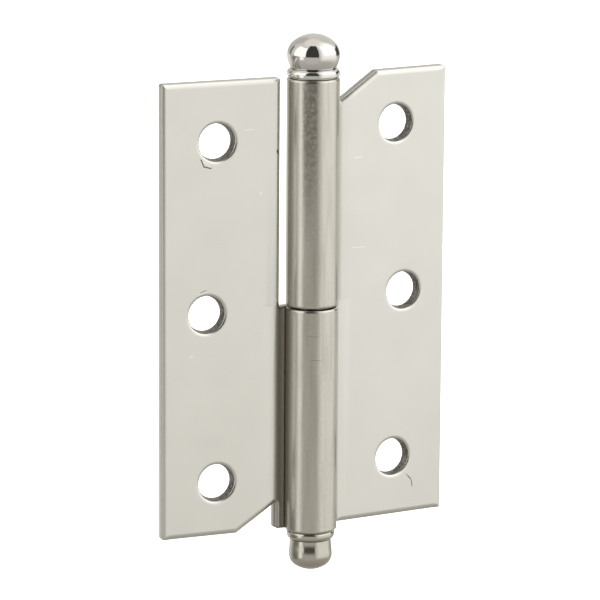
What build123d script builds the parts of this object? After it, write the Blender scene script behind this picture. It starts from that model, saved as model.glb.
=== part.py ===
"""Lift-off hinge with rolled knuckles, ball finial above and acorn finial below."""
import os
from math import asin, atan2, degrees, pi, sqrt

from build123d import *

# Leaf blank, millimetres
leaf_height = 60.0
leaf_reach = 20.5        # pin axis to the leaf's outer edge
sheet = 1.4              # steel sheet of both leaves
corner_radius = 0.3      # outer corners of the blank
face_edge_break = 0.2    # die roll along the front edges
leaf_offset = 0.8        # leaf's front face behind the pin axis, half the gap of the closed leaves
bend_radius = 3.8        # inside, where the leaf sweeps back into the knuckle

# Knuckles and pin
pin_diameter = 4.0
running_clearance = 0.05  # radial, pin in either knuckle
knuckle_gap = 0.3         # between the two knuckles, one leaf rides on the pin's tip
knuckle_side_gap = 0.75   # knuckle to the cut-back edge of the other leaf
roll_end_gap = 0.15       # sheet end to the leaf face that it rolls up against
knuckle_end_break = 0.25
knuckle_inner_break = 0.2
pin_tip_chamfer = 0.9
pin_end_chamfer = 0.3
pin_seat_gap = 0.3        # each end of the pin to the finial peg that it faces

# Cut at the knuckle's outer end
chamfer_start = 10.1      # on the leaf's end edge, from the pin axis
chamfer_rise = 3.6        # up the tab beside the knuckle
tab_width = 1.15          # tab left outside the knuckle's outline
tab_corner_radius = 0.45

# Screw holes
hole_diameter = 5.0
hole_rim_break = 0.3      # die roll on the front rim
hole_back_break = 0.08
hole_pitch = 45.0         # end hole to end hole
hole_reach = 12.95        # end holes from the pin axis
mid_hole_reach = 14.35    # middle hole from the pin axis
hole_shift = 0.4          # whole row, towards the leaf's knuckle end

# Ball finial, its own heights counted from the knuckle's end
ball_radius = 3.43
ball_centre = 3.0
ball_crown = 2.68         # widest circle to the crown
ball_side_radius = 2.2    # of the ball's shoulder
ball_neck_radius = 3.0
ball_collar_radius = 3.43

# Acorn finial
acorn_radius = 2.87
acorn_centre = 3.2
acorn_tip = 2.32          # widest circle to the tip
acorn_side_radius = 1.9
acorn_neck_radius = 2.72
acorn_collar_radius = 3.15

# Both finials
collar_height = 1.24
collar_round = 0.55       # upper half of the bead round the collar
collar_foot_break = 0.4
neck_height = 0.06        # sharp waist between collar and ball
peg_length = 4.0
peg_chamfer = 0.4

# Resting swing of the lift-off leaf, past flat
rest_swing = 7.0

# Sizes that follow
half = leaf_height / 2
bore_radius = pin_diameter / 2 + running_clearance
knuckle_radius = bore_radius + sheet
cut_back = knuckle_radius + knuckle_side_gap
tab_edge = knuckle_radius + tab_width
front_y = leaf_offset
back_y = front_y + sheet
sheet_middle = front_y + sheet / 2
roll_middle = bore_radius + sheet / 2
bend_middle = bend_radius + sheet / 2
bend_x = -sqrt((roll_middle + bend_middle) ** 2 - (sheet_middle + bend_middle) ** 2)
peg_inner_end = half - peg_length


def make_leaf():
    """One stamping: leaf to the left of the pin axis, knuckle on its lower half."""
    joint_z = -knuckle_gap / 2

    # Flat blank in front view, up to the bend on the knuckle's half
    outline = [
        (-leaf_reach, -half),
        (-chamfer_start, -half),
        (-tab_edge, -half + chamfer_rise),
        (-tab_edge, -half),
        (bend_x, -half),
        (bend_x, joint_z),
        (-cut_back, joint_z),
        (-cut_back, half),
        (-leaf_reach, half),
    ]
    face = make_face(Polyline(*outline, close=True))
    outer = [
        v for v in face.vertices()
        if abs(abs(v.Y) - half) < 0.01 and min(abs(v.X + leaf_reach), abs(v.X + cut_back)) < 0.01
    ]
    face = fillet(outer, corner_radius)
    tab = [v for v in face.vertices() if abs(v.X + tab_edge) < 0.01 and abs(v.Y + half) < 0.01]
    face = fillet(tab, tab_corner_radius)
    blank = extrude(Plane.XZ.offset(-back_y) * face, amount=sheet)

    # Die roll on the front edges that end before the bend
    front_edges = [
        e for e in blank.edges()
        if abs(e.center().Y - front_y) < 0.01 and e.bounding_box().max.X < bend_x - 0.01
    ]
    blank = chamfer(front_edges, face_edge_break)

    leaf = blank + make_roll()

    # Screw holes, rounded on the front and broken at the back
    for x, z in hole_places():
        leaf -= Pos(x, 0, z) * hole_cutter()
    return leaf


def make_roll():
    """Bend and knuckle: the sheet turns back, then rolls round the bore until it meets the leaf."""
    merge = atan2(sheet_middle + bend_middle, bend_x)
    end = pi - asin((front_y - roll_end_gap) / knuckle_radius)
    bend = CenterArc(
        (bend_x, sheet_middle + bend_middle), bend_middle, -90, degrees(merge) - 90,
    )
    turn = degrees(merge) + 360 - degrees(end)
    roll = CenterArc((0, 0), roll_middle, degrees(merge), -turn)
    strip = trace(bend, sheet) + trace(roll, sheet)
    knuckle = extrude(Pos(0, 0, -half) * strip, amount=half - knuckle_gap / 2)

    # Outer edge of both ends broken, more at the end away from the joint
    def rim(z):
        return [
            e for e in knuckle.edges().filter_by(GeomType.CIRCLE)
            if abs(e.radius - knuckle_radius) < 0.01 and abs(e.center().Z - z) < 0.01
        ]

    knuckle = chamfer(rim(-half), knuckle_end_break)
    return chamfer(rim(-knuckle_gap / 2), knuckle_inner_break)


def hole_places():
    """Centres of the screw holes of the left leaf, in front view."""
    return [
        (-hole_reach, hole_pitch / 2 - hole_shift),
        (-mid_hole_reach, -hole_shift),
        (-hole_reach, -hole_pitch / 2 - hole_shift),
    ]


def hole_cutter():
    """Punched hole with its front rim, revolved about the hole's axis."""
    r = hole_diameter / 2
    rim = r + hole_rim_break
    back = r + hole_back_break
    profile = make_face(Polyline(
        (0, front_y - 1),
        (rim, front_y - 1),
        (rim, front_y),
        (r, front_y + hole_rim_break),
        (r, back_y - hole_back_break),
        (back, back_y),
        (back, back_y + 1),
        (0, back_y + 1),
        close=True,
    ))
    return revolve(profile, Axis.Y)


def make_pin():
    """Round pin with a tapered tip, between the pegs of the two finials."""
    bottom = -peg_inner_end + pin_seat_gap
    pin = Pos(0, 0, bottom) * extrude(Circle(pin_diameter / 2), amount=-2 * bottom)
    tip = pin.edges().filter_by(GeomType.CIRCLE).sort_by(Axis.Z)[-1]
    pin = chamfer(tip, pin_tip_chamfer)
    foot = pin.edges().filter_by(GeomType.CIRCLE).sort_by(Axis.Z)[0]
    return chamfer(foot, pin_end_chamfer)


def finial(radius, centre, crown, side, neck_radius, collar_radius):
    """Turned finial standing on z = 0, peg downwards."""
    neck_z = collar_height + neck_height
    drop = centre - neck_z
    inset = radius - neck_radius
    under_radius = (drop ** 2 + inset ** 2) / (2 * inset)
    crown_radius = ((radius - side) ** 2 + crown ** 2 - side ** 2) / (2 * (crown - side))
    shoulder = degrees(atan2(crown_radius - crown, radius - side))

    # Ball in three tangent arcs, from its widest circle down to the neck and up to the crown
    widest = (radius, centre)
    under = JernArc(widest, (0, -1), under_radius, -degrees(asin(drop / under_radius)))
    upper = JernArc(widest, (0, 1), side, shoulder)
    top = JernArc(upper @ 1, upper % 1, crown_radius, 90 - shoulder)
    bead = CenterArc((collar_radius - collar_round, collar_height - collar_round), collar_round, 0, 90)
    stem = Polyline(
        top @ 1,
        (0, -peg_length),
        (bore_radius - peg_chamfer, -peg_length),
        (bore_radius, -peg_length + peg_chamfer),
        (bore_radius, 0),
        (collar_radius - collar_foot_break, 0),
        (collar_radius, collar_foot_break),
        bead @ 0,
    )
    waist = Line(bead @ 1, under @ 1)
    profile = make_face(stem + bead + waist + under + upper + top)
    return revolve(Plane.XZ * profile, Axis.Z)


def make_ball_finial():
    ball = finial(
        ball_radius, ball_centre, ball_crown, ball_side_radius, ball_neck_radius,
        ball_collar_radius,
    )
    return Pos(0, 0, half) * ball


def make_acorn_finial():
    acorn = finial(
        acorn_radius, acorn_centre, acorn_tip, acorn_side_radius, acorn_neck_radius,
        acorn_collar_radius,
    )
    return Pos(0, 0, -half) * Rot(180, 0, 0) * acorn


# Origin at the middle of the fixed leaf's screw row, on its back face
seat = Pos(hole_reach, -back_y, hole_shift)
swing = Rot(0, 0, rest_swing)
leaf = make_leaf()

parts = {
    "frame_leaf": seat * leaf,
    "door_leaf": seat * swing * Rot(0, 180, 0) * leaf,
    "hinge_pin": seat * make_pin(),
    "top_finial": seat * swing * make_ball_finial(),
    "bottom_finial": seat * make_acorn_finial(),
}

os.makedirs("parts", exist_ok=True)
for name, shape in parts.items():
    shape.label = name
    export_step(shape, f"parts/{name}.step")
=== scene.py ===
# %% [markdown]
# # Dressing a lift-off hinge
# A lift-off hinge has two steel leaves. Each leaf is one strip of sheet that is punched flat and
# then rolled round a pin at one side. The pin stands in the lower knuckle, the upper leaf drops
# over it, and a turned finial closes each end.
# The hinge already exists as a working model with exact sizes. This script loads that model as a
# fixed frame, builds a finer surface for every piece at the same place, and paints and lights it.

from functools import partial
from math import asin, atan2, ceil, cos, pi, radians, sin, sqrt, tan

import bmesh
import bpy
from mathutils import Matrix, Vector
from mathutils.geometry import delaunay_2d_cdt


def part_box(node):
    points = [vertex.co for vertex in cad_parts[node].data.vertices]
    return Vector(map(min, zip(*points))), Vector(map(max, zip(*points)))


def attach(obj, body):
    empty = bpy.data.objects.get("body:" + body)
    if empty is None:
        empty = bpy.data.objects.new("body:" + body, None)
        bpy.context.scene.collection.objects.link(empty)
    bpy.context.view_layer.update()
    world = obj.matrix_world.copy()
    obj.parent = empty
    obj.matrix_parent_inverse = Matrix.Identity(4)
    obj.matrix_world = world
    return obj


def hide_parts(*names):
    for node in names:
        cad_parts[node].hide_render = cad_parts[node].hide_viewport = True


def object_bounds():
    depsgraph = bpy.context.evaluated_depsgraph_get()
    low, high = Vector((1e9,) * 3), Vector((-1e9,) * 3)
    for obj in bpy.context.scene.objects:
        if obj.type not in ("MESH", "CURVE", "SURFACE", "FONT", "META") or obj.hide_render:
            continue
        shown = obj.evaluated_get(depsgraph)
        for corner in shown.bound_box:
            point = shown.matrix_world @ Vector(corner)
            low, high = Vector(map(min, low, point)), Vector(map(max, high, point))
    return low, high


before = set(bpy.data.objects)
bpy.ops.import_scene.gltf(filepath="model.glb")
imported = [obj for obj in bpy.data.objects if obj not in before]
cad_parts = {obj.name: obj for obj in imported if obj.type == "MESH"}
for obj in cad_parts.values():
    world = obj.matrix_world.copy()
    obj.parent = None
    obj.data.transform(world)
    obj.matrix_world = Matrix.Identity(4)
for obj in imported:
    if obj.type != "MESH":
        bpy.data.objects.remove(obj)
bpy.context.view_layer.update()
MM = 0.001
print("nodes:", sorted(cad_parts))

# %% [markdown]
# ## Sizes
# Everything is drawn in millimetres with the pin's axis as the origin, X along the leaf, Y from
# front to back and Z up, and only the finished mesh is moved to its seat in the frame. That keeps
# each number one that a maker could measure with a calliper.

# %% Sizes of the leaf and its knuckle
half = 30.0               # half the leaf's height
reach = 20.5              # pin axis to the outer edge
sheet = 1.4
front = 0.8               # front face of the leaf, behind the pin axis
bend_inside = 16.0        # the leaf sweeps back gently before it meets the roll
pin_radius = 2.0
bore = 2.05
joint = -0.12             # the lower knuckle's end at the joint
cut_back = 4.2            # edge beside the other leaf's knuckle
tab_edge = 4.6            # edge of the tab that joins leaf and knuckle
chamfer_start, chamfer_rise = 10.1, 3.6
hole_radius = 2.5
holes = [(-12.95, 22.1), (-14.35, -0.4), (-12.95, -22.9)]
pressed = 0.07            # the strip's end is pressed this far against the leaf
rest_swing = radians(7)   # the photograph catches the upper leaf past flat
print("leaf, mm:", reach, "by", 2 * half)

# %% Sizes that follow from them
bend_middle = bend_inside + sheet / 2
roll_middle = bore + sheet / 2
outside = bore + sheet
middle_y = front + sheet / 2
bend_x = -sqrt((roll_middle + bend_middle) ** 2 - (middle_y + bend_middle) ** 2)
bend_turn = atan2(middle_y + bend_middle, bend_x) - pi / 2
dip = (bend_x + outside) ** 2 / (2 * (bend_middle + sheet / 2))
lip = front + dip + pressed
roll_turn = pi + asin(lip / outside) + bend_turn + pi / 2
bend_length = bend_middle * bend_turn
roll_length = roll_middle * roll_turn
strip_end = bend_x + bend_length + roll_length
print("strip past the bend line, mm:", round(bend_length + roll_length, 2))

# %% Seats in the frame
low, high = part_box("hinge_pin")
pin_axis = ((low + high) / 2).xy.to_3d()
joint_z = 0.4 * MM        # height of the joint above the frame's origin
seat = Matrix.Translation((pin_axis.x, pin_axis.y, joint_z)) @ Matrix.Scale(MM, 4)
swung_seat = seat @ Matrix.Rotation(rest_swing, 4, "Z")
turned_seat = swung_seat @ Matrix.Rotation(pi, 4, "Y")
print("pin axis, mm:", [round(value / MM, 3) for value in pin_axis])

# %% [markdown]
# ## Small tools
# Colours are picked as sRGB hex values, as in any paint program, but shaders work in linear
# light, so one function converts them. One more function adds a node together with its settings
# and its links, for shader trees and geometry trees alike.

# %% Colour and node helpers
def linear(hex_colour):
    """sRGB hex such as #D8D5CC to a linear RGBA colour."""
    channels = [int(hex_colour[i:i + 2], 16) / 255 for i in (1, 3, 5)]
    return [c / 12.92 if c <= 0.04045 else ((c + 0.055) / 1.055) ** 2.4 for c in channels] + [1.0]


def add(tree, kind, inputs=None, **settings):
    """One node with its settings. An input that is given as a socket is linked."""
    made = tree.nodes.new(kind)
    for name, value in settings.items():
        setattr(made, name, value)
    for name, value in (inputs or {}).items():
        if isinstance(value, bpy.types.NodeSocket):
            tree.links.new(value, made.inputs[name])
        else:
            made.inputs[name].default_value = value
    return made


print("satin nickel, linear:", [round(c, 3) for c in linear("#D4D3CB")])

# %% [markdown]
# ## Satin nickel on the leaves
# The leaves are steel sheet, stamped, rolled and then plated with satin nickel. A plating bath
# copies the skin of the sheet, so the eye meets a soft mirror, warm and half matt, with a fine
# pebble in it. One even grey would do for a first try, but it looks like plastic: the metal shows
# in what differs. The plating is duller where the roll stretched the skin, torn at the punched
# walls, and worn where hands lift the leaf. Painted shade darkens the valley beside the roll and
# the end of the strip, in the crease where the knuckle meets the leaf.
# All this follows the strip and not the room, so the finish reads the place that each point had
# on the flat blank.

# %% Places that the plate's finish reads
def new_finish(name):
    """A finish without nodes, and its node tree."""
    material = bpy.data.materials.new(name)
    material.use_nodes = True
    material.node_tree.nodes.clear()
    return material, material.node_tree


leaf_finish, plate = new_finish("satin nickel plate on rolled steel sheet")
place = add(plate, "ShaderNodeTexCoord").outputs["Object"]
in_mm = add(plate, "ShaderNodeVectorMath", {0: place, 3: 1 / MM}, operation="SCALE").outputs[0]
height = add(plate, "ShaderNodeSeparateXYZ", {0: in_mm}).outputs["Z"]
on_blank = add(plate, "ShaderNodeAttribute", attribute_name="flat_place").outputs["Vector"]
on_blank = add(plate, "ShaderNodeSeparateXYZ", {0: on_blank}).outputs
sheared = add(plate, "ShaderNodeAttribute", attribute_name="sheared").outputs["Fac"]

# How far a point of the knuckle faces the way that the worn patch does, 1 at its middle
worn_side = radians(-30)   # from straight ahead to the left
worn_way = Vector((sin(worn_side), -cos(worn_side), 0)) / (outside * MM)
from_pin = add(
    plate, "ShaderNodeVectorMath", {0: place, 1: (pin_axis.x, pin_axis.y, 0)}, operation="SUBTRACT",
).outputs[0]
facing = add(
    plate, "ShaderNodeVectorMath", {0: from_pin, 1: worn_way}, operation="DOT_PRODUCT",
).outputs["Value"]
print("finish:", leaf_finish.name)

# %% Noise fields of the plate
noise = {}
for name, per_mm, detail in [
    ("drift", 0.14, 2.0),      # the plating's thickness changes over several millimetres
    ("mottle", 1.7, 3.0),      # blotches of the worn patch
    ("tear", 3.5, 3.0),        # grain of the sheared walls
    ("pebble", 2.8, 2.0),      # skin of the sheet, about 0.35 mm from bump to bump
]:
    field = add(plate, "ShaderNodeTexNoise", {"Vector": in_mm, "Scale": per_mm, "Detail": detail})
    noise[name] = field.outputs["Fac"]

# Faint lines run along the knuckle, 0.8 mm apart, as if it had been wiped that way before plating
along_knuckle = add(
    plate, "ShaderNodeCombineXYZ", {"X": on_blank["X"], "Z": on_blank["Z"]},
).outputs[0]
along_knuckle = add(
    plate, "ShaderNodeMapping", {"Vector": along_knuckle, "Scale": (1.3, 1.0, 0.09)},
).outputs[0]
field = add(plate, "ShaderNodeTexNoise", {"Vector": along_knuckle, "Scale": 1.0, "Detail": 3.0})
noise["lines"] = field.outputs["Fac"]
print("noise fields:", ", ".join(noise))

# %% Soft shares of the plate, each from 0 to 1
shares = {}
for name, source, start, end in [
    ("rolled", on_blank["X"], -5.0, -2.5),                        # past the valley, round the pin
    ("beside the roll", on_blank["X"], -5.2, -4.3),
    ("front face", on_blank["Y"], 1.6, 1.4),
    ("below the joint", on_blank["Z"], 0.2, -0.2),
    # painted shade on the strip's last two millimetres, in the crease where it curls back against
    # the leaf
    ("painted shade at the strip end", on_blank["X"], strip_end - 2.2, strip_end - 0.5),
    ("lines", noise["lines"], 0.35, 0.8),
    ("facing the hand", facing, 0.94, 0.985),
    ("high up", height, 8.0, 27.0),
    ("blotches", noise["mottle"], 0.1, 0.7),
    ("front skin", on_blank["Y"], 1.25, 1.15),
    ("unbroken", noise["tear"], 0.32, 0.42),
]:
    shares[name] = add(
        plate, "ShaderNodeMapRange", {"Value": source, "From Min": start, "From Max": end},
        interpolation_type="SMOOTHSTEP",
    ).outputs["Result"]

grain = add(
    plate, "ShaderNodeMapRange",
    {"Value": noise["tear"], "From Min": 0.3, "From Max": 0.6, "To Min": 0.6},
).outputs["Result"]
shares["torn"] = add(
    plate, "ShaderNodeMath", {0: sheared, 1: grain}, operation="MULTIPLY",
).outputs[0]

# Where several shares have to meet, they are multiplied
for name, factors in [
    ("wiped", ["rolled", "lines"]),
    # painted shade: front face of the strip beside and inside the lower knuckle, below the joint
    ("painted valley shade", ["beside the roll", "front face", "below the joint"]),
    ("worn", ["facing the hand", "high up", "rolled", "blotches"]),
]:
    product = shares[factors[0]]
    for factor in factors[1:]:
        product = add(
            plate, "ShaderNodeMath", {0: product, 1: shares[factor]}, operation="MULTIPLY",
        ).outputs[0]
    shares[name] = product
print("shares:", ", ".join(shares))

# %% Tones of the plate, from the widest to the smallest
tone = add(
    plate, "ShaderNodeMix",
    {"Factor": noise["drift"], "A": linear("#CBCAC2"), "B": linear("#D4D3CB")}, data_type="RGBA",
).outputs["Result"]
for name, tint in [
    ("rolled", "#C4C1B6"),     # stretched skin takes the plating duller and a little yellower
    ("wiped", "#B6B2A7"),
    ("painted valley shade", "#A5A19A"),     # painted shade in the valley, where the lower knuckle shades the leaf
    # painted shade on the end of the strip, in the crease against the leaf
    ("painted shade at the strip end", "#A09B91"),
    ("worn", "#8D8980"),
    ("torn", "#5C5953"),       # torn metal, rough and dark under the plating
]:
    tone = add(
        plate, "ShaderNodeMix", {"Factor": shares[name], "A": tone, "B": linear(tint)},
        data_type="RGBA",
    ).outputs["Result"]
print("tones so far:", sum(node.bl_idname == "ShaderNodeMix" for node in plate.nodes))

# %% Handling marks of the leaves: start, end and half width in mm, and a colour
bright, deep, painted_rim_shade, rubbed = "#DDDBD6", "#5A564F", "#8C8880", "#ACA89E"
marks = [
    ((-2.24, 20.39), (-1.83, 19.46), 0.11, deep),      # burr below the upper left hole
    ((-1.83, 19.46), (-0.87, 19.2), 0.11, deep),
    ((-1.85, 20.1), (-1.05, 19.55), 0.16, bright),
    ((3.81, 23.92), (4.92, 23.92), 0.07, bright),
    ((8.34, 20.95), (8.42, 20.6), 0.16, deep),         # nick in the free edge
    ((5.98, 15.6), (6.12, 15.4), 0.12, bright),
    ((-3.8, -5.4), (-3.3, -5.3), 0.1, bright),
    ((-2.5, 2.75), (-1.5, 3.05), 0.14, bright),        # torn rim of the middle left hole
    # painted shade beside the torn rim of the middle left hole
    ((-2.3, 3.0), (-1.5, 3.25), 0.08, painted_rim_shade),
    ((19.59, 19.2), (20.64, 19.18), 0.09, bright),
    ((19.3, 7.3), (21.2, 7.2), 0.07, bright),
    ((27.85, -24.34), (28.63, -25.13), 0.09, deep),    # scratch below the lower right hole
    ((28.63, -25.13), (28.8, -26.11), 0.08, deep),
    ((11.3, -3.0), (12.4, -3.15), 0.09, rubbed),       # rubs on the lower knuckle
    ((11.6, -6.2), (12.8, -6.3), 0.08, rubbed),
]

# Each mark is a stroke in the front view, broken up by the grain, and only on the front
upright = add(
    plate, "ShaderNodeVectorMath", {0: in_mm, 1: (1, 0, 1)}, operation="MULTIPLY",
).outputs[0]
on_front = add(
    plate, "ShaderNodeMath", {0: shares["front skin"], 1: shares["rolled"]}, operation="MAXIMUM",
).outputs[0]
for start, end, wide, colour in marks:
    start, end = Vector((start[0], 0, start[1])), Vector((end[0], 0, end[1]))
    run = end - start
    from_start = add(
        plate, "ShaderNodeVectorMath", {0: upright, 1: start}, operation="SUBTRACT",
    ).outputs[0]
    along = add(
        plate, "ShaderNodeVectorMath", {0: from_start, 1: run / run.length_squared},
        operation="DOT_PRODUCT",
    ).outputs["Value"]
    along = add(plate, "ShaderNodeClamp", {"Value": along}).outputs[0]
    nearest = add(plate, "ShaderNodeVectorMath", {0: run, 3: along}, operation="SCALE").outputs[0]
    away = add(
        plate, "ShaderNodeVectorMath", {0: from_start, 1: nearest}, operation="DISTANCE",
    ).outputs["Value"]
    stroke = add(
        plate, "ShaderNodeMapRange", {"Value": away, "From Min": wide, "From Max": wide * 0.4},
        interpolation_type="SMOOTHSTEP",
    ).outputs["Result"]
    for other in (on_front, shares["unbroken"]):
        stroke = add(
            plate, "ShaderNodeMath", {0: stroke, 1: other}, operation="MULTIPLY",
        ).outputs[0]
    tone = add(
        plate, "ShaderNodeMix", {"Factor": stroke, "A": tone, "B": linear(colour)},
        data_type="RGBA",
    ).outputs["Result"]
print("marks:", len(marks))

# %% Relief and gloss of the plate
depth = add(
    plate, "ShaderNodeMapRange", {"Value": shares["rolled"], "To Min": 0.15, "To Max": 1.0},
).outputs["Result"]        # the pebble is deeper where the sheet was stretched
skin = add(
    plate, "ShaderNodeMath", {0: noise["pebble"], 1: depth}, operation="MULTIPLY",
).outputs[0]
relief = add(plate, "ShaderNodeBump", {"Strength": 1.0, "Distance": 0.012 * MM, "Height": skin})
matt = add(plate, "ShaderNodeMapRange", {"Value": shares["torn"], "To Min": 0.25, "To Max": 0.42})
shader = add(
    plate, "ShaderNodeBsdfPrincipled",
    {
        "Base Color": tone,
        "Metallic": 1.0,
        "Roughness": matt.outputs["Result"],
        "Normal": relief.outputs["Normal"],
    },
)
add(plate, "ShaderNodeOutputMaterial", {"Surface": shader.outputs[0]})
print("nodes in the plate's finish:", len(plate.nodes))

# %% [markdown]
# ## Bright nickel on the finials
# The finials are turned on a lathe, tumbled until smooth and bright-plated, so they are nearly
# mirrors: the eye sees the whole room in them, slightly wavy. They could be perfect mirrors, but
# real ones are touched and knocked. The lower finial rubs on hands and floors, so it gets duller
# and a little yellower.

# %% Bright nickel of the finials
finial_finish, mirror = new_finish("bright nickel on turned steel")
place = add(mirror, "ShaderNodeTexCoord").outputs["Object"]
in_mm = add(mirror, "ShaderNodeVectorMath", {0: place, 3: 1 / MM}, operation="SCALE").outputs[0]
drift = add(mirror, "ShaderNodeTexNoise", {"Vector": in_mm, "Scale": 0.4, "Detail": 2.0})
tone = add(
    mirror, "ShaderNodeMix",
    {"Factor": drift.outputs["Fac"], "A": linear("#D0CEC8"), "B": linear("#D6D4CE")},
    data_type="RGBA",
)
height = add(mirror, "ShaderNodeSeparateXYZ", {0: in_mm}).outputs["Z"]
handled = add(
    mirror, "ShaderNodeMapRange", {"Value": height, "From Min": 0.0, "From Max": -5.0},
).outputs["Result"]
tone = add(
    mirror, "ShaderNodeMix",
    {"Factor": handled, "A": tone.outputs["Result"], "B": linear("#B7B4A8")}, data_type="RGBA",
)
matt = add(mirror, "ShaderNodeMapRange", {"Value": handled, "To Min": 0.07, "To Max": 0.12})
ripple = add(mirror, "ShaderNodeTexNoise", {"Vector": in_mm, "Scale": 1.6, "Detail": 2.0})
relief = add(
    mirror, "ShaderNodeBump",
    {"Strength": 0.2, "Distance": 0.01 * MM, "Height": ripple.outputs["Fac"]},
)
shader = add(
    mirror, "ShaderNodeBsdfPrincipled",
    {
        "Base Color": tone.outputs["Result"],
        "Metallic": 1.0,
        "Roughness": matt.outputs["Result"],
        "Normal": relief.outputs["Normal"],
    },
)
add(mirror, "ShaderNodeOutputMaterial", {"Surface": shader.outputs[0]})
print("finish:", finial_finish.name)

# %% [markdown]
# ## Drawn steel of the pin
# The pin is cut from cold-drawn rod and lightly oiled. Drawing pulls the steel through a die and
# leaves fine lines along it, 0.1 mm apart, so it looks darker than the plating and a little silky.
# Noise that is stretched along the pin gives both the lines' tone and their relief.

# %% Drawn steel of the pin
pin_finish, rod = new_finish("cold-drawn steel rod")
place = add(rod, "ShaderNodeTexCoord").outputs["Object"]
along = add(
    rod, "ShaderNodeMapping", {"Vector": place, "Scale": (9 / MM, 9 / MM, 0.15 / MM)},
).outputs[0]
lines = add(rod, "ShaderNodeTexNoise", {"Vector": along, "Scale": 1.0, "Detail": 3.0})
tone = add(
    rod, "ShaderNodeMix",
    {"Factor": lines.outputs["Fac"], "A": linear("#A9A8A4"), "B": linear("#C6C5C1")},
    data_type="RGBA",
)
relief = add(
    rod, "ShaderNodeBump",
    {"Strength": 0.4, "Distance": 0.01 * MM, "Height": lines.outputs["Fac"]},
)
shader = add(
    rod, "ShaderNodeBsdfPrincipled",
    {
        "Base Color": tone.outputs["Result"],
        "Metallic": 1.0,
        "Roughness": 0.28,
        "Normal": relief.outputs["Normal"],
    },
)
add(rod, "ShaderNodeOutputMaterial", {"Surface": shader.outputs[0]})
print("finish:", pin_finish.name)

# %% [markdown]
# ## The leaf, first as a flat blank
# A press punches the outline and the three screw holes in one stroke. The punch drags the metal
# with it, so every edge on the front is rounded over (die roll), and the back edge stays crisp.
# The blank could be a boxy mesh with a Bevel modifier, but a real die roll is wider than it is
# deep, so the edges are drawn here as rings: each outline is repeated a little further in and a
# little less deep, and the rings are joined by strips of faces.

# %% Corners of the blank, and the lines that it folds along
corners = [                # X, Z, corner radius, room beside the corner without fold points
    (-cut_back, joint, 0.12, 0.4),
    (-cut_back, half, 0.3, 0.95),
    (-reach, half, 0.3, 0.4),
    (-reach, -half, 0.3, 0.4),
    (-chamfer_start, -half, 0.3, 0.4),
    (-tab_edge, -half + chamfer_rise, 0.1, 0.95),
    (-tab_edge, -half, 0.45, 0.95),
    (strip_end, -half, 0.25, 0.4),
    (strip_end, joint, 0.25, 0.4),
]
fold_step = 0.19           # mm along the strip, about 4 degrees of the roll
fold_length = strip_end - 0.4 - bend_x
fold_count = ceil(fold_length / fold_step)
folds = [bend_x + fold_length * i / fold_count for i in range(fold_count + 1)]
folds.insert(0, -reach + 1.1)      # here the wide die roll of the top and foot begins
fade = 0.6                 # mm above the joint where the sweep runs out into the flat leaf
fan_heights = [fade * i / 5 for i in range(6)]
print("fold lines:", len(folds))

# %% Outline of the blank, with a point wherever a fold line crosses it
def fold_points(here, ahead, inset):
    """Points where the fold lines cross one edge of the outline, clear of its two corners."""
    start, end = Vector(here[:2]), Vector(ahead[:2])
    on, length = (end - start).normalized(), (end - start).length
    inward = Vector((-on.y, on.x)) * inset
    crossings = sorted((fold - here[0]) / (end.x - here[0]) for fold in folds)
    return [
        start.lerp(end, share) + inward
        for share in crossings
        if here[3] < share * length < length - ahead[3]
    ]


def outline_at(inset, steps=6):
    """The outline moved into the metal. Each inset gives the same number of points."""
    points = []
    for i, corner in enumerate(corners):
        before, after = corners[i - 1], corners[(i + 1) % len(corners)]
        here = Vector(corner[:2])
        back = (Vector(before[:2]) - here).normalized()
        on = (Vector(after[:2]) - here).normalized()
        half_opening = back.angle(on) / 2
        middle = (back + on).normalized()
        outer = 1 if on.cross(back) > 0 else -1
        tip = here + middle * (outer * inset / sin(half_opening))
        size = max(0.02, corner[2] - outer * inset)
        centre = tip + middle * (size / sin(half_opening))
        start, finish = (tip + side * (size / tan(half_opening)) for side in (back, on))
        for k in range(steps + 1):
            spread = (start - centre).lerp(finish - centre, k / steps)
            points.append(centre + spread.normalized() * size)
        if corner[0] != after[0]:
            points += fold_points(corner, after, inset)
    return points


outline = outline_at(0)
print("outline points:", len(outline))

# %% [markdown]
# ## Rings, caps and holes
# The two flat faces of the blank are capped inside the last ring. A surface can only roll where
# it has edges to fold at, so the cap is cut along every fold line past the bend. A Delaunay
# triangulation keeps those lines and the holes, and needs no points of its own.

# %% Roundings: width and depth of the front one, then of the back one, in mm
plate_edge = (0.72, 0.42, 0.08, 0.06)
side_edge = (0.55, 0.24, 0.08, 0.06)      # outer side of the leaf
hole_edge = (0.42, 0.17, 0.04, 0.04)
lower_rim = (0.05, 0.05, 0.3, 0.28)       # knuckle: its skin is the back of the strip
joint_rim = (0.05, 0.05, 0.3, 0.2)
seam_edge = (0.05, 0.05, 0.12, 0.1)       # end of the strip, pressed against the leaf


def edge_shape(x, z):
    """Rounding of the outline at one place: the plate's, which fades into the knuckle's."""
    on_strip = min(1.0, max(0.0, (x + tab_edge + 0.2) / 1.6))
    at_end = min(1.0, max(0.0, (x - strip_end + 0.25) / 0.25))
    at_side = min(1.0, max(0.0, 1 - (x + reach) / 1.0))
    rim = lower_rim if z < -half / 2 else joint_rim
    rim = [a + (b - a) * at_end for a, b in zip(rim, seam_edge)]
    edge = [a + (b - a) * at_side for a, b in zip(plate_edge, side_edge)]
    return tuple(a + (b - a) * on_strip for a, b in zip(edge, rim))


outline_shapes = [edge_shape(point.x, point.y) for point in outline]
print("widest rounding, mm:", round(max(shape[0] for shape in outline_shapes), 2))

# %% Rings of points over each edge
hole_points = 72


def hole_at(x, z, inset):
    """Points of a screw hole, widened by the inset, the other way round than the outline."""
    turns = [2 * pi * k / hole_points for k in range(hole_points)]
    size = hole_radius + inset
    return [Vector((x + size * cos(turn), z - size * sin(turn))) for turn in turns]


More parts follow.
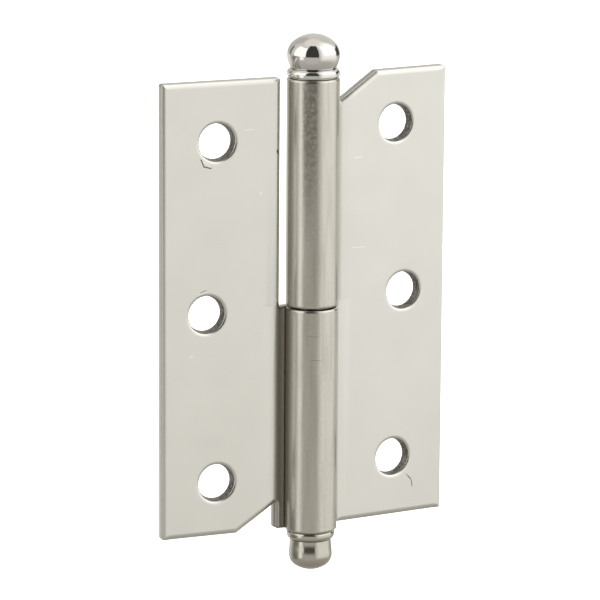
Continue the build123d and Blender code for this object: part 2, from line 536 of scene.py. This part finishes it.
def rings(loop_at, shapes, taper=0.0, steps=6):
    """Rings from the front cap's rim, over both roundings, to the back cap's rim.

    shapes holds each point's rounding, and taper says how far the back stands out past the
    front. Every point comes with 1 where the punch sheared the metal and 0 where it did not."""
    support = 0.05        # flat strip beside each rounding, which keeps the caps' shading flat
    turns = [k / steps * pi / 2 for k in range(steps + 1)]
    one_side = [(1.0, 0.0, 0.0, support)]
    one_side += [(1 - sin(a), 1 - cos(a), float(a == turns[-1]), 0.0) for a in turns]
    both_sides = [(0, *ring) for ring in one_side] + [(2, *ring) for ring in reversed(one_side)]
    made = []
    for side, inset, depth, sheared_here, more in both_sides:
        widths = sorted({shape[side] for shape in shapes})
        more -= taper if side else 0.0
        loops = {width: loop_at(width * inset + more) for width in (widths[0], widths[-1])}
        spread = widths[-1] - widths[0]
        ring = []
        for i, shape in enumerate(shapes):
            share = (shape[side] - widths[0]) / spread if spread else 0.0
            spot = loops[widths[0]][i].lerp(loops[widths[-1]][i], share)
            drop = shape[side + 1] * depth
            level = front + (drop if side == 0 else sheet - drop)
            ring.append((Vector((spot.x, level, spot.y)), sheared_here))
        made.append(ring)
    return made


print("rings on a hole:", len(rings(lambda inset: hole_at(0, 0, inset), [hole_edge] * hole_points)))

# %% Caps between the rings
def inside(spot, loop):
    """True if a 2-D point lies inside a closed loop."""
    crossings = 0
    for a, b in zip(loop, loop[1:] + loop[:1]):
        if (a.y > spot.y) != (b.y > spot.y):
            crossings += spot.x < a.x + (spot.y - a.y) * (b.x - a.x) / (b.y - a.y)
    return crossings % 2 == 1


def cap_triangles(outer, inner):
    """Triangles that fill the outer loop round the inner ones, cut along the fold lines.

    Returns them as indices into the loops' points and, after those, into the new points."""
    points = outer + [point for loop in inner for point in loop]
    rim_count = len(points)
    edges, start = [], 0
    for loop in [outer, *inner]:
        count = len(loop)
        edges += [(start + i, start + (i + 1) % count) for i in range(count)]
        start += count
    for fold in folds:
        crossing = [i for i, point in enumerate(outline) if abs(point.x - fold) < 1e-5]
        if len(crossing) == 2:
            edges.append(tuple(crossing))

    # A fan from the corner at the joint, where the sweep runs out into the flat leaf
    fan_corner = Vector((-cut_back, 0.0))
    fan_start = min(range(len(outline)), key=lambda i: (outline[i] - fan_corner).length)
    for fan_height in fan_heights:
        edges.append((fan_start, len(points)))
        points.append(Vector((bend_x - 0.2, fan_height)))

    spots, _, faces, sources, _, _ = delaunay_2d_cdt(points, edges, [], 0, 1e-6)
    index, extra = [], []
    for spot, source in zip(spots, sources):
        on_rim = [i for i in source if i < rim_count]
        if not on_rim:
            extra.append(spot)
        index.append(on_rim[0] if on_rim else rim_count + len(extra) - 1)
    kept = []
    for face in faces:
        centre = sum((spots[i] for i in face), Vector((0, 0))) / 3
        if inside(centre, outer) and not any(inside(centre, loop) for loop in inner):
            kept.append([index[i] for i in face])
    print("cap:", len(kept), "triangles,", len(extra), "points of its own")
    return kept, extra


# %% Mesh of the blank
def blank_mesh():
    """The whole stamping while it is still flat. Each point keeps its flat place for the finish."""
    points, torn, faces, ends = [], [], [], []

    # Loop, roundings, taper, and how rough its sheared wall is
    loops = [(outline_at, outline_shapes, 0.0, 0.3)]
    for x, z in holes:
        loops.append((partial(hole_at, x, z), [hole_edge] * hole_points, 0.2, 1.0))
    for loop_at, shapes, taper, roughness in loops:
        starts = []
        for ring in rings(loop_at, shapes, taper):
            starts.append(len(points))
            points.extend(point for point, _ in ring)
            torn.extend(value * roughness for _, value in ring)
        count = len(shapes)
        for a, b in zip(starts, starts[1:]):
            for i, j in zip(range(count), [*range(1, count), 0]):
                faces.append((a + i, b + i, b + j, a + j))
        ends.append((starts[0], starts[-1], count))

    for side in (0, 1):
        order = [end[side] + i for end in ends for i in range(end[2])]
        rims = [[points[end[side] + i].xz for i in range(end[2])] for end in ends]
        triangles, extra = cap_triangles(rims[0], rims[1:])
        order += range(len(points), len(points) + len(extra))
        points += [Vector((spot.x, front + sheet * side, spot.y)) for spot in extra]
        torn += [0.0] * len(extra)
        for face in triangles:
            on_cap = [order[i] for i in face]
            faces.append(tuple(on_cap if side == 0 else reversed(on_cap)))

    mesh = bpy.data.meshes.new("blank")
    mesh.from_pydata(points, [], faces)
    on_points = mesh.attributes.new("sheared", "FLOAT", "POINT")
    on_points.data.foreach_set("value", torn)
    on_points = mesh.attributes.new("flat_place", "FLOAT_VECTOR", "POINT")
    on_points.data.foreach_set("vector", [value for point in points for value in point])
    print("blank:", len(points), "points,", len(faces), "faces, valid:", not mesh.validate())
    return mesh


blank = bpy.data.objects.new("blank", blank_mesh())
bpy.context.scene.collection.objects.link(blank)

# %% [markdown]
# ## Rolling the knuckle
# On the real hinge the strip beside the leaf is pushed through a curling die: it first turns back
# a little, and then winds round a mandrel until its end meets the leaf again. Sculpting that curl
# would never give an even wall. A Geometry Nodes tree does what the die does: it takes each point
# of the flat strip by its distance from the bend line, turns it about the bend's centre, and then
# turns the rest of the way about the pin's axis.

# %% Geometry tree of the curling die
def curling_die():
    """Tree that bends and rolls everything past the bend line."""
    tree = bpy.data.node_groups.new("curl the strip round the pin", "GeometryNodeTree")
    face = tree.interface
    face.new_socket("Geometry", in_out="INPUT", socket_type="NodeSocketGeometry")
    for name in (
        "Bend Line", "Bend Centre", "Bend Middle Radius", "Bend Length", "Bend Fade",
        "Roll Middle Radius",
    ):
        face.new_socket(name, in_out="INPUT", socket_type="NodeSocketFloat")
    face.new_socket("Finish", in_out="INPUT", socket_type="NodeSocketMaterial")
    face.new_socket("Geometry", in_out="OUTPUT", socket_type="NodeSocketGeometry")
    given = add(tree, "NodeGroupInput").outputs

    # Distance along the strip, counted from the bend line
    here = add(tree, "GeometryNodeInputPosition").outputs[0]
    axes = add(tree, "ShaderNodeSeparateXYZ", {0: here}).outputs
    along = add(
        tree, "ShaderNodeMath", {0: axes["X"], 1: given["Bend Line"]}, operation="SUBTRACT",
    ).outputs[0]
    held = add(
        tree, "ShaderNodeMath", {0: axes["X"], 1: given["Bend Line"]}, operation="MINIMUM",
    ).outputs[0]
    start = add(
        tree, "ShaderNodeCombineXYZ", {"X": held, "Y": axes["Y"], "Z": axes["Z"]},
    ).outputs[0]

    # First turn, about the centre of the bend
    in_bend = add(
        tree, "ShaderNodeClamp", {"Value": along, "Min": 0.0, "Max": given["Bend Length"]},
    ).outputs[0]
    bend_angle = add(
        tree, "ShaderNodeMath", {0: in_bend, 1: given["Bend Middle Radius"]}, operation="DIVIDE",
    ).outputs[0]
    bend_centre = add(
        tree, "ShaderNodeCombineXYZ", {"X": given["Bend Line"], "Y": given["Bend Centre"]},
    ).outputs[0]
    bent = add(
        tree, "ShaderNodeVectorRotate",
        {"Vector": start, "Center": bend_centre, "Angle": bend_angle}, rotation_type="Z_AXIS",
    ).outputs[0]

    # Second turn, the other way, about the pin's axis
    past_bend = add(
        tree, "ShaderNodeMath", {0: along, 1: given["Bend Length"]}, operation="SUBTRACT",
    ).outputs[0]
    in_roll = add(tree, "ShaderNodeMath", {0: past_bend, 1: 0.0}, operation="MAXIMUM").outputs[0]
    back = add(
        tree, "ShaderNodeMath", {0: in_roll, 1: given["Roll Middle Radius"]}, operation="DIVIDE",
    ).outputs[0]
    roll_angle = add(tree, "ShaderNodeMath", {0: back, 1: -1.0}, operation="MULTIPLY").outputs[0]
    rolled = add(
        tree, "ShaderNodeVectorRotate", {"Vector": bent, "Angle": roll_angle},
        rotation_type="Z_AXIS",
    ).outputs[0]

    # Above the joint no strip pulls the sheet back, so there the bend runs out
    pulled = add(
        tree, "ShaderNodeMapRange",
        {"Value": axes["Z"], "From Min": given["Bend Fade"], "From Max": 0.0},
        interpolation_type="SMOOTHSTEP",
    ).outputs["Result"]
    place = add(
        tree, "ShaderNodeMix", {"Factor": pulled, "A": here, "B": rolled}, data_type="VECTOR",
    ).outputs["Result"]
    moved = add(
        tree, "GeometryNodeSetPosition", {"Geometry": given["Geometry"], "Position": place},
    ).outputs[0]
    whole = add(tree, "GeometryNodeRealizeInstances", {"Geometry": moved}).outputs[0]
    painted = add(
        tree, "GeometryNodeSetMaterial", {"Geometry": whole, "Material": given["Finish"]},
    ).outputs[0]
    add(tree, "NodeGroupOutput", {"Geometry": painted})
    return tree


def run_tree(thing, tree, values):
    """Runs a geometry tree on an object and returns the result as a plain mesh."""
    modifier = thing.modifiers.new(tree.name, "NODES")
    modifier.node_group = tree
    for item in tree.interface.items_tree:
        if item.in_out == "INPUT" and item.name in values:
            modifier[item.identifier] = values[item.name]
    depsgraph = bpy.context.evaluated_depsgraph_get()
    result = bpy.data.meshes.new_from_object(thing.evaluated_get(depsgraph))
    thing.modifiers.remove(modifier)
    bpy.data.objects.remove(thing)
    return result


stamping = run_tree(blank, curling_die(), {
    "Bend Line": bend_x,
    "Bend Centre": middle_y + bend_middle,
    "Bend Middle Radius": bend_middle,
    "Bend Length": bend_length,
    "Bend Fade": fade,
    "Roll Middle Radius": roll_middle,
    "Finish": leaf_finish,
})
print("rolled leaf:", len(stamping.vertices), "points in", stamping.materials[0].name)

# %% [markdown]
# ## Two leaves from one stamping
# Both leaves come off the same tool. The lift-off leaf is the fixed one turned end for end, so
# its knuckle sits on the upper half, and the photograph catches it swung a few degrees past flat.

# %% Put a finished piece on its body
def finish_piece(mesh, name, place, body, sharp=30):
    """A piece with its place in its mesh, riding its body and standing for its model node."""
    mesh.transform(place)
    mesh.polygons.foreach_set("use_smooth", [True] * len(mesh.polygons))
    mesh.set_sharp_from_angle(angle=radians(sharp))
    mesh.name = name
    piece = bpy.data.objects.new(name, mesh)
    bpy.context.scene.collection.objects.link(piece)
    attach(piece, body)
    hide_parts(name.removesuffix("_look"))
    corners = [piece.matrix_world @ vertex.co for vertex in mesh.vertices]
    size = [(max(c[i] for c in corners) - min(c[i] for c in corners)) / MM for i in range(3)]
    print(name, "size, mm:", [round(value, 2) for value in size])
    return piece


finish_piece(stamping.copy(), "frame_leaf_look", seat, "frame")
finish_piece(stamping, "door_leaf_look", turned_seat, "door")

# %% [markdown]
# ## Turned pieces
# The finials and the pin come off a lathe. On a lathe one profile makes the whole form, so each
# piece is drawn as half a section, and a Geometry Nodes tree spins it: it lays out a grid, reads
# the profile's points one after the other, and turns each copy a little further.

# %% Geometry tree of the lathe
def lathe():
    """Tree that spins a profile, drawn in X and Z, about the Z axis."""
    tree = bpy.data.node_groups.new("spin a profile", "GeometryNodeTree")
    face = tree.interface
    face.new_socket("Geometry", in_out="INPUT", socket_type="NodeSocketGeometry")
    face.new_socket("Steps Around", in_out="INPUT", socket_type="NodeSocketInt")
    face.new_socket("Weld Distance", in_out="INPUT", socket_type="NodeSocketFloat")
    face.new_socket("Finish", in_out="INPUT", socket_type="NodeSocketMaterial")
    face.new_socket("Geometry", in_out="OUTPUT", socket_type="NodeSocketGeometry")
    given = add(tree, "NodeGroupInput").outputs

    # A grid with one column for each turn and one row for each point of the profile
    count = add(
        tree, "GeometryNodeAttributeDomainSize", {"Geometry": given["Geometry"]}, component="MESH",
    ).outputs["Point Count"]
    turns = add(
        tree, "ShaderNodeMath", {0: given["Steps Around"], 1: 1.0}, operation="ADD",
    ).outputs[0]
    grid = add(tree, "GeometryNodeMeshGrid", {"Vertices X": turns, "Vertices Y": count}).outputs[0]

    # Which point of the profile, and which turn, each grid point stands for
    index = add(tree, "GeometryNodeInputIndex").outputs[0]
    row = add(tree, "ShaderNodeMath", {0: index, 1: count}, operation="FLOORED_MODULO").outputs[0]
    share = add(tree, "ShaderNodeMath", {0: index, 1: count}, operation="DIVIDE").outputs[0]
    column = add(tree, "ShaderNodeMath", {0: share}, operation="FLOOR").outputs[0]
    part = add(
        tree, "ShaderNodeMath", {0: column, 1: given["Steps Around"]}, operation="DIVIDE",
    ).outputs[0]
    angle = add(tree, "ShaderNodeMath", {0: part, 1: 2 * pi}, operation="MULTIPLY").outputs[0]

    here = add(tree, "GeometryNodeInputPosition").outputs[0]
    on_profile = add(
        tree, "GeometryNodeSampleIndex",
        {"Geometry": given["Geometry"], "Value": here, "Index": row}, data_type="FLOAT_VECTOR",
    ).outputs[0]
    spun = add(
        tree, "ShaderNodeVectorRotate", {"Vector": on_profile, "Angle": angle},
        rotation_type="Z_AXIS",
    ).outputs[0]
    turned = add(tree, "GeometryNodeSetPosition", {"Geometry": grid, "Position": spun}).outputs[0]
    closed = add(
        tree, "GeometryNodeMergeByDistance",
        {"Geometry": turned, "Distance": given["Weld Distance"]},
    ).outputs[0]
    whole = add(tree, "GeometryNodeRealizeInstances", {"Geometry": closed}).outputs[0]
    painted = add(
        tree, "GeometryNodeSetMaterial", {"Geometry": whole, "Material": given["Finish"]},
    ).outputs[0]
    add(tree, "NodeGroupOutput", {"Geometry": painted})
    return tree


lathe_tree = lathe()


def turn(points, finish, steps=128):
    """Spins (radius, height) points and returns a closed mesh with its faces outwards."""
    profile = bpy.data.meshes.new("profile")
    edges = [(i, i + 1) for i in range(len(points) - 1)]
    profile.from_pydata([(x, 0, z) for x, z in points], edges, [])
    thing = bpy.data.objects.new("profile", profile)
    bpy.context.scene.collection.objects.link(thing)
    mesh = run_tree(
        thing, lathe_tree, {"Steps Around": steps, "Weld Distance": 0.001, "Finish": finish},
    )
    work = bmesh.new()
    work.from_mesh(mesh)
    bmesh.ops.dissolve_degenerate(work, dist=0.0005, edges=work.edges[:])
    bmesh.ops.recalc_face_normals(work, faces=work.faces[:])
    open_edges = sum(not edge.is_manifold for edge in work.edges)
    work.to_mesh(mesh)
    work.free()
    print("turned", len(points), "points,", len(mesh.polygons), "faces, open edges:", open_edges)
    return mesh


# %% [markdown]
# ## Finials
# Each finial has a peg for the bore, a collar with a half-round bead, a sharp waist, and a ball
# (above) or an acorn (below). A ball on a hinge is rarely a true sphere: its underside curves in
# slowly, its shoulder is tighter and its crown is flat. Arcs that meet without a kink give that,
# and a mirror finish shows at once if they don't.

# %% Arcs of a finial
def arc(centre_x, centre_z, radius, start, end, steps):
    """Points of an arc, angles in radians, both ends included."""
    angles = [start + (end - start) * k / steps for k in range(steps + 1)]
    return [(centre_x + radius * cos(a), centre_z + radius * sin(a)) for a in angles]


def ball_above(radius, centre, crown, side):
    """The upper part of a ball: a tight shoulder and a flat crown, without a kink between them."""
    cap = ((radius - side) ** 2 + crown ** 2 - side ** 2) / (2 * (crown - side))
    shoulder = atan2(cap - crown, radius - side)
    return [
        *arc(radius - side, centre, side, 0, shoulder, 20)[1:],
        *arc(0, centre + crown - cap, cap, shoulder, pi / 2, 20)[1:],
    ]


def foot_and_bead(collar, foot=0.4, bead=0.55, height=1.24):
    """Peg in the bore, and the collar with its edge turned to a half-round bead."""
    return [
        (0, -4),
        (bore - 0.4, -4),
        (bore, -3.6),
        (bore, 0),
        *arc(collar - foot, foot, foot, -pi / 2, 0, 8),
        *arc(collar - bead, height - bead, bead, 0, pi / 2, 10),
    ]


waist = 1.3                # height of the waist above the knuckle's end
print("peg and bead points:", len(foot_and_bead(3.43)))

# %% Ball and acorn
ball_radius, ball_centre, ball_neck = 3.43, 3.0, 3.0
drop, inset = ball_centre - waist, ball_radius - ball_neck
under = (drop ** 2 + inset ** 2) / (2 * inset)
ball = turn(
    [
        *foot_and_bead(collar=3.43),
        *arc(ball_radius - under, ball_centre, under, -asin(drop / under), 0, 24),
        *ball_above(ball_radius, ball_centre, crown=2.68, side=2.2),
    ],
    finial_finish,
)

acorn_radius, acorn_centre, acorn_neck = 2.87, 3.42, 2.72
hollow = []
for t in (k / 24 for k in range(25)):
    swell = t * t * (3 - 2 * t)
    hollow.append(
        (acorn_neck + (acorn_radius - acorn_neck) * swell, waist + (acorn_centre - waist) * t)
    )
acorn = turn(
    [
        *foot_and_bead(collar=3.15),
        *hollow,
        *ball_above(acorn_radius, acorn_centre, crown=2.10, side=1.75),
    ],
    finial_finish,
)

on_top = swung_seat @ Matrix.Translation((0, 0, half))
below = seat @ Matrix.Translation((0, 0, -half)) @ Matrix.Rotation(pi, 4, "X")
finish_piece(ball, "top_finial_look", on_top, "door")
finish_piece(acorn, "bottom_finial_look", below, "frame")

# %% [markdown]
# ## Pin
# The pin shows only when the upper leaf is lifted off. Its tip is domed so that the leaf finds
# it, and its foot has a small chamfer from the cropping tool.

# %% Pin profile
pin_end, cropped, dome = 25.7, 0.3, 0.95
pin_profile = [
    (0, -pin_end),
    (pin_radius - cropped, -pin_end),
    (pin_radius, -pin_end + cropped),
    *arc(pin_radius - dome, pin_end - dome, dome, 0, pi / 2, 10),
    (0, pin_end),
]
pin = turn(pin_profile, pin_finish, steps=64)
finish_piece(pin, "hinge_pin_look", seat, "pin")

# %% [markdown]
# ## Studio
# Nickel has hardly any colour of its own: what the eye reads as metal is the room. The photograph
# tells what stood round the hinge, because the round knuckle and the ball scan the room like a
# periscope: a dark gap where the camera stood, a wide softbox on the right, a narrower one on the
# left with its glare on the table, and a pale table below. Real lamps would light the floor
# unevenly, so the room is painted as soft windows on the world's sky, each with an azimuth and an
# elevation.

# %% Windows of the room
# Azimuth from and to, elevation from and to, soft edge (all in degrees), brightness
windows = [
    (-180, 180, -90, -4, 3, 0.62),        # table top
    (-180, 180, -90, -45, 60, 0.46),      # its part next to the hinge, in the hinge's own shade
    (-57, -2, -32, -3, 16, 0.67),         # its part in front, below the camera
    (-128, -95, -30, -3, 16, 0.28),       # its part on the left, behind the left softbox
    (10, 98, -18, -4, 22, 1.34),          # glare of the right softbox on the table
    (-85, -66, -18, -4, 10, 1.5),         # glare of the left softbox on the table
    (-180, -143, -24, -4, 10, 0.98),      # light from behind on the table
    (138, 180, -24, -4, 10, 0.98),
    (-180, -148, -2, 62, 10, 0.66),       # wall behind
    (174, 180, -2, 62, 10, 0.66),
    (-180, 180, 64, 95, 14, 1.05),        # ceiling
    (18, 100, -2, 66, 30, 1.8),           # wide softbox on the right
    (-116, -57, -4, 52, 5, 1.6),          # left softbox
    (-57, 2, -6, 74, 4, 0.06),            # dark gap round the camera
    (93, 126, -8, 18, 6, 0.08),           # dark gap behind the right softbox
    (-150, -136, -3, 30, 6, 0.25),        # dark gap behind the left one
]
walls = 0.85               # brightness where there is no window
print("windows:", len(windows))

# %% Sky with soft windows
def studio_sky():
    """World whose brightness depends on direction only. Azimuth 0 is -Y and grows to the right."""
    world = bpy.data.worlds.new("soft studio")
    world.use_nodes = True
    tree = world.node_tree
    tree.nodes.clear()
    direction = add(tree, "ShaderNodeTexCoord").outputs["Generated"]
    axes = add(tree, "ShaderNodeSeparateXYZ", {0: direction}).outputs
    toward = add(tree, "ShaderNodeMath", {0: axes["Y"], 1: -1.0}, operation="MULTIPLY").outputs[0]
    azimuth = add(tree, "ShaderNodeMath", {0: axes["X"], 1: toward}, operation="ARCTAN2").outputs[0]
    elevation = add(tree, "ShaderNodeMath", {0: axes["Z"]}, operation="ARCSINE").outputs[0]

    value = walls
    for left, right, lower, upper, soft, brightness in windows:
        mask = None
        for source, edge, sign, full_turn in (
            (azimuth, left, 1, 180), (azimuth, right, -1, 180),
            (elevation, lower, 1, 90), (elevation, upper, -1, 90),
        ):
            if abs(edge) >= full_turn:     # a window that runs all the way has no edge there
                continue
            share = add(
                tree, "ShaderNodeMapRange",
                {
                    "Value": source,
                    "From Min": radians(edge - sign * soft / 2),
                    "From Max": radians(edge + sign * soft / 2),
                },
                interpolation_type="SMOOTHSTEP",
            ).outputs["Result"]
            mask = share if mask is None else add(
                tree, "ShaderNodeMath", {0: mask, 1: share}, operation="MULTIPLY",
            ).outputs[0]
        value = add(
            tree, "ShaderNodeMix", {"Factor": mask, "A": value, "B": brightness}, data_type="FLOAT",
        ).outputs["Result"]

    # Dim parts of the room are a little warmer than the lamps
    lamp_share = add(tree, "ShaderNodeMath", {0: value, 1: 1.75}, operation="DIVIDE").outputs[0]
    tint = add(
        tree, "ShaderNodeMix",
        {"Factor": lamp_share, "A": linear("#FFFAF0"), "B": linear("#FDFDFF")}, data_type="RGBA",
    ).outputs["Result"]
    light = add(tree, "ShaderNodeBackground", {"Color": tint, "Strength": value})
    add(tree, "ShaderNodeOutputWorld", {"Surface": light.outputs[0]})
    return world


bpy.context.scene.world = studio_sky()
print("world:", bpy.context.scene.world.name)

# %% [markdown]
# ## Floor and overhead light
# The hinge floats a little above a sweep of white paper, as in the photograph, where no shadow
# touches it. The paper and the lamp are kept out of the mirror: the painted room already holds a
# table and a ceiling, and a second one would show in the ball.

# %% Floor and overhead light
floor_mesh = bpy.data.meshes.new("floor")
bottom_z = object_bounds()[0].z - 30 * MM
far = 4.0
floor_mesh.from_pydata(
    [(-far, -far, bottom_z), (far, -far, bottom_z), (far, far, bottom_z), (-far, far, bottom_z)],
    [], [(0, 1, 2, 3)],
)
floor = bpy.data.objects.new("floor", floor_mesh)
bpy.context.scene.collection.objects.link(floor)
paper = bpy.data.materials.new("white paper sweep")
paper.use_nodes = True
paper_shader = paper.node_tree.nodes["Principled BSDF"]
paper_shader.inputs["Base Color"].default_value = linear("#F7F6F3")
paper_shader.inputs["Roughness"].default_value = 0.9
paper_shader.inputs["Specular IOR Level"].default_value = 0.0
floor_mesh.materials.append(paper)
floor.visible_glossy = False

lamp = bpy.data.lights.new("overhead panel", "AREA")
lamp.shape = "DISK"
lamp.size = 1.6
lamp.energy = 28.0
panel = bpy.data.objects.new("overhead panel", lamp)
panel.matrix_world = Matrix.Translation((0.0, 0.2, 1.4))
panel.visible_glossy = False
bpy.context.scene.collection.objects.link(panel)
print("floor at, mm:", round(bottom_z / MM, 2))

# %% [markdown]
# ## Camera
# The photograph was taken from a little to the left and a little above, from about half a metre,
# with a long lens. The place and the lens were fitted to the hinge's edges in the picture.

# %% Camera
camera_place = Vector((-193.96, -493.02, 115.26)) * MM
azimuth, drop, roll = -0.39605, 0.21122, 0.00608
forward = Vector((-sin(azimuth) * cos(drop), cos(azimuth) * cos(drop), -sin(drop)))
level = Vector((cos(azimuth), sin(azimuth), 0))
upright = level.cross(forward)
right = cos(roll) * level + sin(roll) * upright
up = -sin(roll) * level + cos(roll) * upright
camera_data = bpy.data.cameras.new("camera")
camera_data.lens = 251.15
camera_data.sensor_width = 36.0
camera = bpy.data.objects.new("camera", camera_data)
axes = Matrix((right, up, -forward)).transposed()
camera.matrix_world = Matrix.Translation(camera_place) @ axes.to_4x4()
bpy.context.scene.collection.objects.link(camera)
bpy.context.scene.camera = camera
bpy.context.scene.view_settings.view_transform = "Standard"
print("camera, mm:", [round(value / MM, 1) for value in camera.matrix_world.translation])
